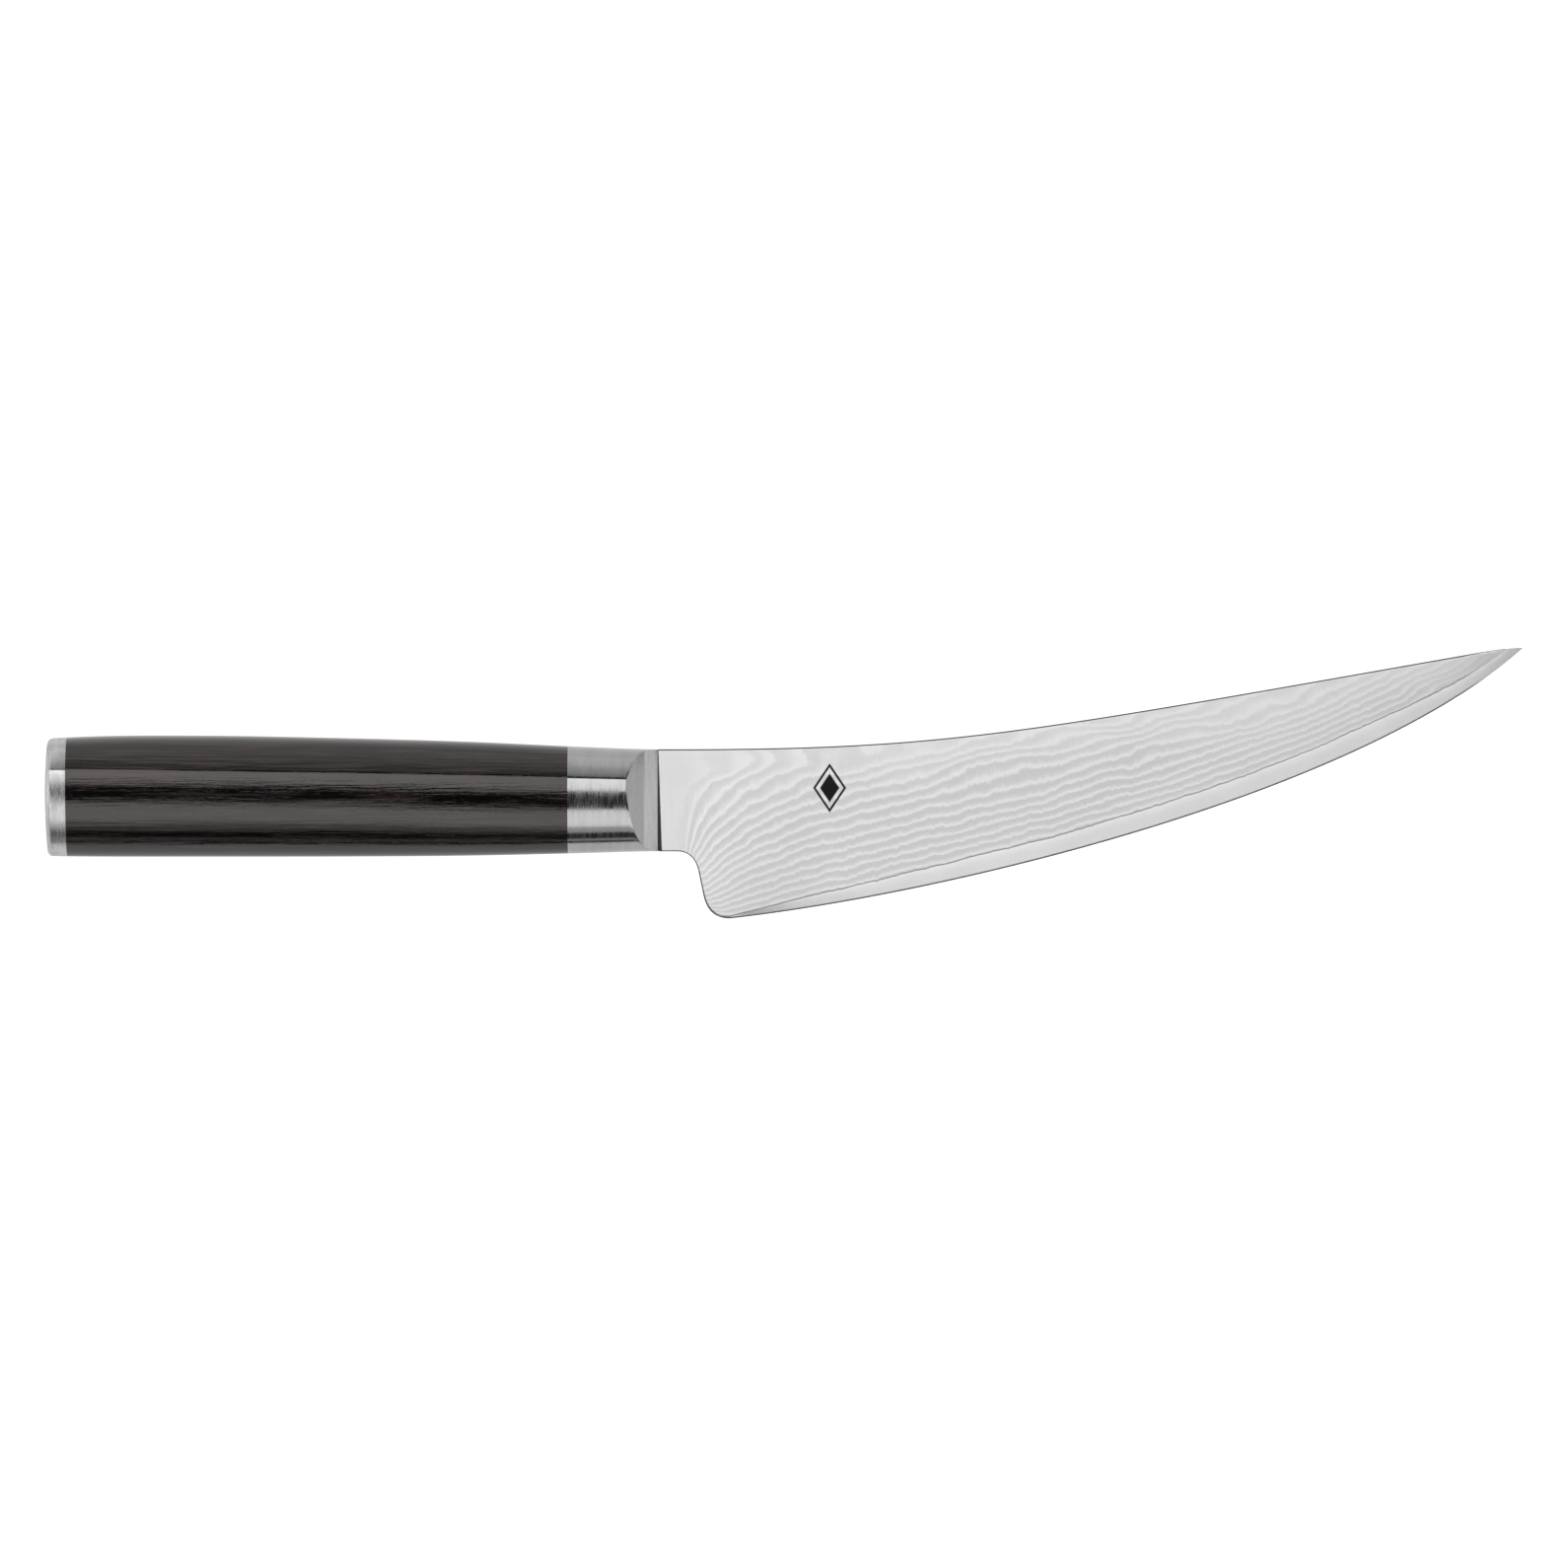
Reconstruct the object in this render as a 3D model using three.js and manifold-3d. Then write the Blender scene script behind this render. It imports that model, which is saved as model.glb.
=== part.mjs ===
// A curved boning knife with a layered steel blade, a stainless bolster, a D-shaped laminated
// wood handle and a stainless end cap, with the tang and its fixings inside.
// All sizes are in millimetres. The knife lies on the flat of its left side: X runs to the tip,
// Y to the spine and Z out of the right side. Positions below are measured from the joint of
// blade and bolster, on the middle plane of the blade.
import * as THREE from "three";
import { mergeVertices } from "three/addons/utils/BufferGeometryUtils.js";
import Module from "manifold-3d";

const wasm = await Module();
wasm.setup();

// Blade outline.
const shoulderHalfHeight = 9.5;
const spineStart = new THREE.Vector2(0, shoulderHalfHeight);
const spineEnd = new THREE.Vector2(152.6, 27.5);
const tip = new THREE.Vector2(160.8, 28.4);
const heelStart = new THREE.Vector2(8.2, -17.6);
const heel = new THREE.Vector2(13.1, -22);

// Blade layers: the hard core sheet and the soft layered cladding on each side of it.
const coreHalf = 0.3;
const edgeHalf = 0.08;
const claddingLipHalf = 0.36;
const bladeHalf = 0.95;
const tipHalf = 0.5;
const bareEdgeAtHeel = 1.4;
const bareEdge = 3.7;
const bareEdgeFullAt = 38;
const grindStart = 5;
const grindLength = 26;

// Tang inside the bolster and the handle.
const tangHalfHeight = 4.5;
const tangEnd = -12;
const barHeight = 7;
const barThickness = 3;
const barEnd = -55;
const studRadius = 2.5;
const studEnd = -109.4;
const clearance = 0.3;

// Bolster, handle and end cap along the length.
const bolsterFront = -0.3;
const handleFront = -17;
const capFront = -110.5;
const butt = -114.3;
const buttRounding = 1.6;
const leftFlat = 8.4;
const leftFlatHalfHeight = 2.6;
const facetShare = 0.78;
const facetSlope = 0.6;
const moonRadius = 20;
const moonCentreX = 12.04;
const moonCentreZ = 16.94;
const boreRadius = 5.1;
const boreFront = -7;
const adhesiveRadius = 4.8;
const adhesiveFront = -15;
const adhesiveEnd = -100;
const counterboreRadius = 6.5;
const counterboreFloor = -104;
const washerRadius = 5.6;
const washerThickness = 1.2;
const nutAcrossFlats = 8;
const nutThickness = 4;
const spigotRadius = 6.2;
const spigotLength = 0.9;

// The handle's section at stations along its length: how high its top, bottom and right-hand
// ridge are, and how far the ridge stands out.
const stations = [
  { x: -118, top: 11.35, bottom: 10.38, ridge: 5.6, reach: 9.95 },
  { x: -104, top: 11.95, bottom: 10.5, ridge: 5.45, reach: 9.9 },
  { x: -86, top: 12.05, bottom: 10.51, ridge: 5.2, reach: 9.75 },
  { x: -60, top: 11.62, bottom: 10.49, ridge: 4.85, reach: 9.4 },
  { x: -35, top: 10.9, bottom: 10.31, ridge: 4.4, reach: 9 },
  { x: -15, top: 10.0, bottom: 9.87, ridge: 4, reach: 8.6 },
  { x: -3, top: 9.55, bottom: 9.54, ridge: 3.75, reach: 8.33 },
  { x: 2, top: 9.45, bottom: 9.47, ridge: 3.7, reach: 8.28 },
];

const smooth = (share) => {
  const s = THREE.MathUtils.clamp(share, 0, 1);
  return s * s * (3 - 2 * s);
};

// A section value at any place along the handle, on a smooth curve through the stations.
const sectionValues = new THREE.CatmullRomCurve3(
  stations.map((s) => new THREE.Vector3(s.x, s.top, s.bottom)),
  false,
  "centripetal",
);
const ridgeValues = new THREE.CatmullRomCurve3(
  stations.map((s) => new THREE.Vector3(s.x, s.ridge, s.reach)),
  false,
  "centripetal",
);

// The point of a curve that lies at a given X, for a curve that only runs forward in X.
function pointAt(curve, x) {
  let low = 0;
  let high = 1;
  for (let i = 0; i < 30; i += 1) {
    const middle = (low + high) / 2;
    if (curve.getPoint(middle).x < x) low = middle;
    else high = middle;
  }
  return curve.getPoint((low + high) / 2);
}

const spineCurve = new THREE.CubicBezierCurve(
  spineStart,
  new THREE.Vector2(53.6, shoulderHalfHeight),
  new THREE.Vector2(64.43, 12.01),
  spineEnd,
);
const edgeCurve = new THREE.CubicBezierCurve(
  heel,
  new THREE.Vector2(54.2, -17.4),
  new THREE.Vector2(130.7, 1.3),
  tip,
);

// Height of the cutting edge, of the lower limit of the cladding and of the spine at a place.
const edgeHeight = (x) => pointAt(edgeCurve, x).y;
const claddingLimit = (x) => {
  const share = smooth((x - heel.x) / (bareEdgeFullAt - heel.x));
  return edgeHeight(x) + THREE.MathUtils.lerp(bareEdgeAtHeel, bareEdge, share);
};
const spineHeight = (x) => pointAt(spineCurve, x).y;

// The whole outline of the blade with its stub of tang.
function bladeOutline() {
  const shape = new THREE.Shape();
  shape.moveTo(tangEnd, -tangHalfHeight);
  shape.lineTo(0, -tangHalfHeight);
  shape.lineTo(0, -shoulderHalfHeight);
  shape.lineTo(3.2, -shoulderHalfHeight);
  shape.quadraticCurveTo(6.3, -shoulderHalfHeight, 7.2, -12.8);
  shape.lineTo(heelStart.x, heelStart.y);
  shape.quadraticCurveTo(9.1, heel.y, heel.x, heel.y);
  shape.bezierCurveTo(54.2, -17.4, 130.7, 1.3, tip.x, tip.y);
  shape.quadraticCurveTo(157, 28.27, spineEnd.x, spineEnd.y);
  shape.bezierCurveTo(64.43, 12.01, 53.6, shoulderHalfHeight, 0, shoulderHalfHeight);
  shape.lineTo(0, tangHalfHeight);
  shape.lineTo(tangEnd, tangHalfHeight);
  return shape;
}

// Turns a three.js geometry into a solid for boolean work, and a solid back into a geometry.
function solid(geometry) {
  const bare = geometry.clone();
  bare.deleteAttribute("normal");
  bare.deleteAttribute("uv");
  const merged = mergeVertices(bare, 1e-4);
  return new wasm.Manifold(
    new wasm.Mesh({
      numProp: 3,
      vertProperties: merged.attributes.position.array,
      triVerts: new Uint32Array(merged.index.array),
    }),
  );
}

function geometryOf(made) {
  const mesh = made.getMesh();
  const geometry = new THREE.BufferGeometry();
  geometry.setAttribute("position", new THREE.BufferAttribute(mesh.vertProperties, 3));
  geometry.setIndex(new THREE.BufferAttribute(mesh.triVerts, 1));
  const flat = geometry.toNonIndexed();
  flat.computeVertexNormals();
  return flat;
}

// A plate of the given outline between two heights.
function plate(shape, low, high, curveSegments) {
  const geometry = new THREE.ExtrudeGeometry(shape, {
    depth: high - low,
    bevelEnabled: false,
    curveSegments,
  });
  geometry.translate(0, 0, low);
  return solid(geometry);
}

// A slab that follows the blade: rowsAt gives, for a place along it, the height and the half
// thickness of each row from below the edge to above the spine.
function slab(from, to, steps, rowsAt) {
  const rowCount = rowsAt(from).length;
  const geometry = new THREE.BoxGeometry(1, 1, 1, steps, rowCount - 1, 1);
  const place = geometry.getAttribute("position");
  for (let i = 0; i < place.count; i += 1) {
    const x = THREE.MathUtils.lerp(from, to, place.getX(i) + 0.5);
    const row = rowsAt(x)[Math.round((place.getY(i) + 0.5) * (rowCount - 1))];
    place.setXYZ(i, x, row.y, 2 * place.getZ(i) * row.half);
  }
  return solid(geometry);
}

// A bar whose section changes along X: sections run from the front to the back, and each is a
// list of points that goes round from the ridge by way of the bottom.
function loft(sections) {
  const spokes = sections[0].length;
  const rings = sections.length - 1;
  const geometry = new THREE.CylinderGeometry(1, 1, 1, spokes, rings);
  const place = geometry.getAttribute("position");
  for (let i = 0; i < place.count; i += 1) {
    const level = Math.round((0.5 - place.getY(i)) * rings);
    const around = Math.atan2(place.getX(i), place.getZ(i)) / (2 * Math.PI);
    const spoke = Math.round(around * spokes + spokes) % spokes;
    const point = sections[level][spoke];
    const onAxis = Math.hypot(place.getX(i), place.getZ(i)) < 0.5;
    if (onAxis) place.setXYZ(i, point.x, 0, 0);
    else place.setXYZ(i, point.x, point.y, point.z);
  }
  return solid(geometry);
}

// The D-shaped section at a place, drawn in from its outline by an inset.
function handleSection(x, inset = 0) {
  const { y: top, z: bottom } = pointAt(sectionValues, x);
  const { y: ridge, z: reach } = pointAt(ridgeValues, x);
  const facetTop = top * facetShare;
  const facetReach = reach - (facetTop - ridge) * facetSlope;
  const crown = new THREE.QuadraticBezierCurve(
    new THREE.Vector2(0, top),
    new THREE.Vector2(facetReach * 0.76, top),
    new THREE.Vector2(facetReach, facetTop),
  );
  const points = [];
  const add = (y, z) => {
    const size = Math.hypot(y, z);
    const kept = (size - inset) / size;
    points.push(new THREE.Vector3(x, y * kept, z * kept));
  };
  const quarter = 10;
  for (let i = 0; i < quarter; i += 1) {
    const a = (i / quarter) * (Math.PI / 2);
    add(ridge - (ridge + bottom) * Math.sin(a), reach * Math.cos(a));
  }
  for (let i = 0; i <= quarter; i += 1) {
    const a = (i / quarter) * (Math.PI / 2);
    const y = -leftFlatHalfHeight - (bottom - leftFlatHalfHeight) * Math.cos(a);
    add(y, -leftFlat * Math.sin(a));
  }
  for (let i = 0; i < quarter; i += 1) {
    const a = (i / quarter) * (Math.PI / 2);
    const y = leftFlatHalfHeight + (top - leftFlatHalfHeight) * Math.sin(a);
    add(y, -leftFlat * Math.cos(a));
  }
  for (let i = 0; i <= 6; i += 1) {
    const point = crown.getPoint(i / 6);
    add(point.y, point.x);
  }
  return points;
}

function handleLoft(front, back, rings) {
  const sections = [];
  for (let i = 0; i <= rings; i += 1) {
    sections.push(handleSection(THREE.MathUtils.lerp(front, back, i / rings)));
  }
  return loft(sections);
}

// A round bar along X between two places.
function rod(from, to, radius, sides = 32) {
  const geometry = new THREE.CylinderGeometry(radius, radius, to - from, sides);
  geometry.rotateZ(-Math.PI / 2);
  geometry.translate((from + to) / 2, 0, 0);
  return solid(geometry);
}

function bar(from, to, height, thickness) {
  const geometry = new THREE.BoxGeometry(to - from, height, thickness);
  geometry.translate((from + to) / 2, 0, 0);
  return solid(geometry);
}

// Hard core: a thin sheet that narrows to the cutting edge below the cladding.
function bladeCore() {
  const ground = slab(-14, 164, 56, (x) => [
    { y: edgeHeight(x) - 3, half: edgeHalf },
    { y: edgeHeight(x), half: edgeHalf },
    { y: claddingLimit(x), half: coreHalf },
    { y: claddingLimit(x) + 40, half: coreHalf },
  ]);
  return plate(bladeOutline(), -coreHalf, coreHalf, 40).intersect(ground);
}

// Cladding: full thickness at the bolster, ground down to a thin lip above the bare core.
function cladding(side) {
  const ground = slab(-14, 164, 56, (x) => {
    const limit = claddingLimit(x);
    const spine = Math.max(spineHeight(x), limit + 1);
    const atSpine = THREE.MathUtils.lerp(bladeHalf, tipHalf, THREE.MathUtils.clamp(x / tip.x, 0, 1));
    const grind = smooth((x - grindStart) / grindLength);
    const low = THREE.MathUtils.lerp(bladeHalf, claddingLipHalf, grind);
    const high = THREE.MathUtils.lerp(bladeHalf, atSpine, grind);
    const middle = THREE.MathUtils.lerp(low, high, 0.5 + 0.06 * grind);
    return [
      { y: limit - 20, half: low },
      { y: limit, half: low },
      { y: (limit + spine) / 2, half: middle },
      { y: spine, half: high },
      { y: spine + 10, half: high },
    ];
  });
  const bareStrip = slab(-14, 164, 56, (x) => [
    { y: edgeHeight(x) - 10, half: 5 },
    { y: claddingLimit(x), half: 5 },
  ]);
  const low = side > 0 ? coreHalf : -3;
  const high = side > 0 ? 3 : -coreHalf;
  return plate(bladeOutline(), low, high, 40).intersect(ground).subtract(bareStrip);
}

// Bolster: a D-shaped block whose front is ground back on both sides to the blade in a hollow
// moon shape, with a slot for the stub of tang and a bore behind it.
function bolster() {
  let made = handleLoft(bolsterFront, handleFront, 5);
  for (const side of [1, -1]) {
    const cutter = new THREE.CylinderGeometry(moonRadius, moonRadius, 40, 144);
    cutter.translate(moonCentreX, 0, side * moonCentreZ);
    made = made.subtract(solid(cutter));
  }
  const slot = bar(tangEnd - 1, 1, 2 * (tangHalfHeight + clearance), 2 * bladeHalf);
  return made.subtract(slot).subtract(rod(handleFront - 1, boreFront, boreRadius));
}

function handleBody() {
  return handleLoft(handleFront, capFront, 22)
    .subtract(rod(counterboreFloor - 1, handleFront + 1, boreRadius))
    .subtract(rod(capFront - 1, counterboreFloor, counterboreRadius));
}

// Adhesive that fills the bore round the tang.
function adhesive() {
  return rod(adhesiveEnd, adhesiveFront, adhesiveRadius)
    .subtract(bar(barEnd - clearance, 0, barHeight + 2 * clearance, barThickness + 2 * clearance))
    .subtract(rod(adhesiveEnd - 1, adhesiveFront + 1, studRadius + clearance));
}

function stud() {
  const length = barEnd - studEnd;
  const profile = [
    new THREE.Vector2(0, 0),
    new THREE.Vector2(studRadius - 0.6, 0),
    new THREE.Vector2(studRadius, 0.6),
    new THREE.Vector2(studRadius, length),
    new THREE.Vector2(0, length),
  ];
  const geometry = new THREE.LatheGeometry(profile, 32);
  geometry.rotateZ(-Math.PI / 2);
  geometry.translate(studEnd, 0, 0);
  return solid(geometry);
}

function washer() {
  const back = counterboreFloor - washerThickness;
  const hole = rod(back - 1, counterboreFloor + 1, studRadius + clearance);
  return rod(back, counterboreFloor, washerRadius).subtract(hole);
}

function nut() {
  const front = counterboreFloor - washerThickness;
  const back = front - nutThickness;
  const corner = nutAcrossFlats / 2 / Math.cos(Math.PI / 6);
  return rod(back, front, corner, 6).subtract(rod(back - 1, front + 1, studRadius + clearance));
}

// End cap: carries the handle's section on to a rounded butt, with a short spigot in front.
function endCap() {
  const sections = [handleSection(capFront), handleSection(butt + buttRounding)];
  for (const angle of [22.5, 45, 67.5, 90]) {
    const a = THREE.MathUtils.degToRad(angle);
    const x = butt + buttRounding * (1 - Math.sin(a));
    sections.push(handleSection(x, buttRounding * (1 - Math.cos(a))));
  }
  return loft(sections).add(rod(capFront - 1, capFront + spigotLength, spigotRadius));
}

const steel = { color: 0xc9cbcd, roughness: 0.34, metalness: 0.9 };
const layered = { color: 0xb9bcbf, roughness: 0.42, metalness: 0.85 };
const polished = { color: 0xb4b6b8, roughness: 0.24, metalness: 0.95 };
const plain = { color: 0x9da0a2, roughness: 0.5, metalness: 0.8 };
const darkWood = { color: 0x231f1e, roughness: 0.38, metalness: 0 };
const resin = { color: 0x6e6a5c, roughness: 0.6, metalness: 0 };

const pieces = [
  ["blade_core", bladeCore(), steel],
  ["cladding_right", cladding(1), layered],
  ["cladding_left", cladding(-1), layered],
  ["bolster", bolster(), polished],
  ["tang_bar", bar(barEnd, tangEnd, barHeight, barThickness), plain],
  ["tang_stud", stud(), plain],
  ["tang_adhesive", adhesive(), resin],
  ["handle_body", handleBody(), darkWood],
  ["stud_washer", washer(), plain],
  ["stud_nut", nut(), plain],
  ["end_cap", endCap(), polished],
];

// The row's frame has its origin at the middle of the knife's footprint, on the surface it
// lies on.
const knife = new THREE.Group();
knife.name = "boning_knife";
knife.position.set(-(tip.x + butt) / 2, -(tip.y + heel.y) / 2, leftFlat);
for (const [name, made, look] of pieces) {
  const mesh = new THREE.Mesh(geometryOf(made), new THREE.MeshStandardMaterial(look));
  mesh.name = name;
  knife.add(mesh);
}

export default knife;
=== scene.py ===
from math import cos, exp, hypot, log, pi, radians, sin, sqrt, tan

import bmesh
import bpy
import numpy as np
from mathutils import Matrix, Vector, noise
from mathutils.geometry import interpolate_bezier


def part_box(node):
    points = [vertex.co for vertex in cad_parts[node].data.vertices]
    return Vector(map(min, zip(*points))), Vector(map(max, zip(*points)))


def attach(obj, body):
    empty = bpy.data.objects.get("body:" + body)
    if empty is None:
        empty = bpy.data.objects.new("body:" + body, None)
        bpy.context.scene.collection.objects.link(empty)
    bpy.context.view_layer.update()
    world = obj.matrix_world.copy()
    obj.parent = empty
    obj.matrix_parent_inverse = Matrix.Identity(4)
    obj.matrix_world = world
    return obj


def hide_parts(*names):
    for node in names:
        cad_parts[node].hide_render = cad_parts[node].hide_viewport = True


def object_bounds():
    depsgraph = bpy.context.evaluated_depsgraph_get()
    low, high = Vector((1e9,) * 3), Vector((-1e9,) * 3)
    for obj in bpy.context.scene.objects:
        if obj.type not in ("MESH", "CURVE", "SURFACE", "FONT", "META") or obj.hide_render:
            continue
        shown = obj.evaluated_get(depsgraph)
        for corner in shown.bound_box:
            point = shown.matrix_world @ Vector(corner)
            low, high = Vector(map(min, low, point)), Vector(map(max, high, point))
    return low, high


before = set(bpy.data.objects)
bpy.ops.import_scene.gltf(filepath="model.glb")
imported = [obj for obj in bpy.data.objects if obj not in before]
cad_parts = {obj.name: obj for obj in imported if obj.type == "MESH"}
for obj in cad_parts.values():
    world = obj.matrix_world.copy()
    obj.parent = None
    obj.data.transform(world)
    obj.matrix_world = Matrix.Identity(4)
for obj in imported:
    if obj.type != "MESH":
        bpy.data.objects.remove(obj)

cadBounds = [list(corner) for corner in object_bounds()]

# Shapes are worked in millimetres from the joint of blade and bolster, on the middle plane
# of the blade, then carried to their place in the frame.
coreLow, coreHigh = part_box("blade_core")
tipX, heelY = 160.8, -22.0
toFrame = Matrix.Translation((
    coreHigh.x - tipX / 1000,
    coreLow.y - heelY / 1000,
    (coreLow.z + coreHigh.z) / 2,
)) @ Matrix.Scale(0.001, 4)


def smooth(share):
    s = min(max(share, 0.0), 1.0)
    return s * s * (3 - 2 * s)


def mix(a, b, share):
    return a + (b - a) * share


def curve(start, startHandle, endHandle, end, steps=120):
    points = [Vector((*p, 0)) for p in (start, startHandle, endHandle, end)]
    return [(p.x, p.y) for p in interpolate_bezier(*points, steps)]


def orderFaces(bm):
    # sorts the faces by their points, so that every run gives the same mesh
    bm.verts.index_update()
    base = len(bm.verts)

    def place(face):
        low, middle, high = sorted(vert.index for vert in face.verts)[:3]
        return (low * base + middle) * base + high

    bm.faces.sort(key=place)


def finish(bm, name, replaced, materials, sharpAngle=30):
    # moves a finished mesh to its place and hands it to the frame
    bmesh.ops.recalc_face_normals(bm, faces=bm.faces)
    orderFaces(bm)
    bmesh.ops.transform(bm, matrix=toFrame, verts=bm.verts)
    mesh = bpy.data.meshes.new(name)
    bm.to_mesh(mesh)
    bm.free()
    mesh.shade_smooth()
    mesh.set_sharp_from_angle(angle=radians(sharpAngle))
    for material in materials:
        mesh.materials.append(material)
    piece = bpy.data.objects.new(name, mesh)
    bpy.context.scene.collection.objects.link(piece)
    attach(piece, "root")
    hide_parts(*replaced)
    return piece


noiseLow, noiseHigh = 0.3, 0.7     # most values of a noise texture lie between these


def newMaterial(name):
    material = bpy.data.materials.new(name)
    material.use_nodes = True
    tree = material.node_tree
    return material, tree, tree.nodes["Principled BSDF"]


def addNode(tree, kind, **settings):
    node = tree.nodes.new(kind)
    for key, value in settings.items():
        if key.startswith("in_"):
            node.inputs[key[3:].replace("_", " ")].default_value = value
        else:
            setattr(node, key, value)
    return node


def newGroup(name, inputs, outputs):
    group = bpy.data.node_groups.new(name, "ShaderNodeTree")
    for label, kind, value in inputs:
        socket = group.interface.new_socket(label, in_out="INPUT", socket_type=kind)
        if value is not None:
            socket.default_value = value
    for label, kind in outputs:
        group.interface.new_socket(label, in_out="OUTPUT", socket_type=kind)
    return group, group.nodes.new("NodeGroupInput"), group.nodes.new("NodeGroupOutput")


def mathNode(tree, operation, a, b=None, clamp=False):
    node = tree.nodes.new("ShaderNodeMath")
    node.operation = operation
    node.use_clamp = clamp
    for socket, value in zip(node.inputs, (a, b)):
        if value is None:
            continue
        if isinstance(value, (int, float)):
            socket.default_value = value
        else:
            tree.links.new(value, socket)
    return node.outputs[0]


def rangeNode(tree, value, fromLow, fromHigh, toLow, toHigh, style="SMOOTHSTEP"):
    node = tree.nodes.new("ShaderNodeMapRange")
    node.interpolation_type = style
    tree.links.new(value, node.inputs["Value"])
    for label, number in (("From Min", fromLow), ("From Max", fromHigh),
                          ("To Min", toLow), ("To Max", toHigh)):
        if isinstance(number, (int, float)):
            node.inputs[label].default_value = number
        else:
            tree.links.new(number, node.inputs[label])
    return node.outputs["Result"]


def mixColour(tree, factor, a, b):
    node = tree.nodes.new("ShaderNodeMix")
    node.data_type = "RGBA"
    tree.links.new(factor, node.inputs["Factor"])
    for label, colour in (("A", a), ("B", b)):
        socket = [s for s in node.inputs if s.name == label and s.type == "RGBA"][0]
        if isinstance(colour, tuple):
            socket.default_value = (*colour, 1)
        else:
            tree.links.new(colour, socket)
    return [s for s in node.outputs if s.type == "RGBA"][0]


# Fine scratches that all run one way: noise on coordinates squeezed in that direction.
lineGroup, lineIn, lineOut = newGroup(
    "scratchLines",
    [("Squeeze", "NodeSocketVector", (1, 1, 1)), ("Detail Scale", "NodeSocketFloat", 1.0)],
    [("Lines", "NodeSocketFloat"), ("Streaks", "NodeSocketFloat")],
)
lineCoord = lineGroup.nodes.new("ShaderNodeTexCoord")
lineStretch = addNode(lineGroup, "ShaderNodeVectorMath", operation="MULTIPLY")
lineGroup.links.new(lineCoord.outputs["Object"], lineStretch.inputs[0])
lineGroup.links.new(lineIn.outputs["Squeeze"], lineStretch.inputs[1])
fineNoise = addNode(lineGroup, "ShaderNodeTexNoise", in_Detail=4.0, in_Roughness=0.65)
broadNoise = addNode(lineGroup, "ShaderNodeTexNoise", in_Detail=2.0, in_Roughness=0.5)
broadShare = 0.22      # scale of the broad streaks against the fine lines
for noiseNode, share in ((fineNoise, 1.0), (broadNoise, broadShare)):
    lineGroup.links.new(lineStretch.outputs[0], noiseNode.inputs["Vector"])
    lineGroup.links.new(
        mathNode(lineGroup, "MULTIPLY", lineIn.outputs["Detail Scale"], share),
        noiseNode.inputs["Scale"],
    )
lineGroup.links.new(fineNoise.outputs["Fac"], lineOut.inputs["Lines"])
lineGroup.links.new(broadNoise.outputs["Fac"], lineOut.inputs["Streaks"])

# Slow cloudy changes of tone, as handling and polishing leave.
cloudGroup, cloudIn, cloudOut = newGroup(
    "cloudTone",
    [("Scale", "NodeSocketFloat", 60.0), ("Low", "NodeSocketFloat", 0.9),
     ("High", "NodeSocketFloat", 1.0)],
    [("Tone", "NodeSocketFloat")],
)
cloudCoord = cloudGroup.nodes.new("ShaderNodeTexCoord")
cloudNoise = addNode(cloudGroup, "ShaderNodeTexNoise", in_Detail=3.0, in_Roughness=0.55)
cloudGroup.links.new(cloudCoord.outputs["Object"], cloudNoise.inputs["Vector"])
cloudGroup.links.new(cloudIn.outputs["Scale"], cloudNoise.inputs["Scale"])
cloudGroup.links.new(
    rangeNode(cloudGroup, cloudNoise.outputs["Fac"], noiseLow, noiseHigh,
              cloudIn.outputs["Low"], cloudIn.outputs["High"]),
    cloudOut.inputs["Tone"],
)


def placeLines(tree, squeeze, scale):
    node = tree.nodes.new("ShaderNodeGroup")
    node.node_tree = lineGroup
    node.inputs["Squeeze"].default_value = squeeze
    node.inputs["Detail Scale"].default_value = scale
    return node


def placeCloud(tree, scale, low, high):
    node = tree.nodes.new("ShaderNodeGroup")
    node.node_tree = cloudGroup
    node.inputs["Scale"].default_value = scale
    node.inputs["Low"].default_value = low
    node.inputs["High"].default_value = high
    return node.outputs["Tone"]


def addBump(tree, shader, height, strength, distance):
    bump = addNode(tree, "ShaderNodeBump")
    bump.inputs["Strength"].default_value = strength
    bump.inputs["Distance"].default_value = distance
    tree.links.new(height, bump.inputs["Height"])
    tree.links.new(bump.outputs["Normal"], shader.inputs["Normal"])


def scaledColour(tree, tone, colour):
    # a colour darkened by a tone that changes over the surface
    return mixColour(tree, tone, (0, 0, 0), colour)


def steelMaterial(name, look):
    material, tree, shader = newMaterial(name)
    shader.inputs["Metallic"].default_value = 1.0
    lines = placeLines(tree, look["squeeze"], look["lineScale"])
    cloud = placeCloud(tree, look["cloudScale"], look["cloudLow"], 1.0)
    streak = rangeNode(tree, lines.outputs["Streaks"], noiseLow, noiseHigh, look["streakLow"], 1.0)
    tone = mathNode(tree, "MULTIPLY", cloud, streak)
    tree.links.new(scaledColour(tree, tone, look["colour"]), shader.inputs["Base Color"])
    rough = rangeNode(tree, lines.outputs["Lines"], *look["lineSpread"],
                      look["roughLow"], look["roughHigh"])
    tree.links.new(rough, shader.inputs["Roughness"])
    addBump(tree, shader, lines.outputs["Lines"], look["bump"], look["bumpDepth"])
    return material


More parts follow.
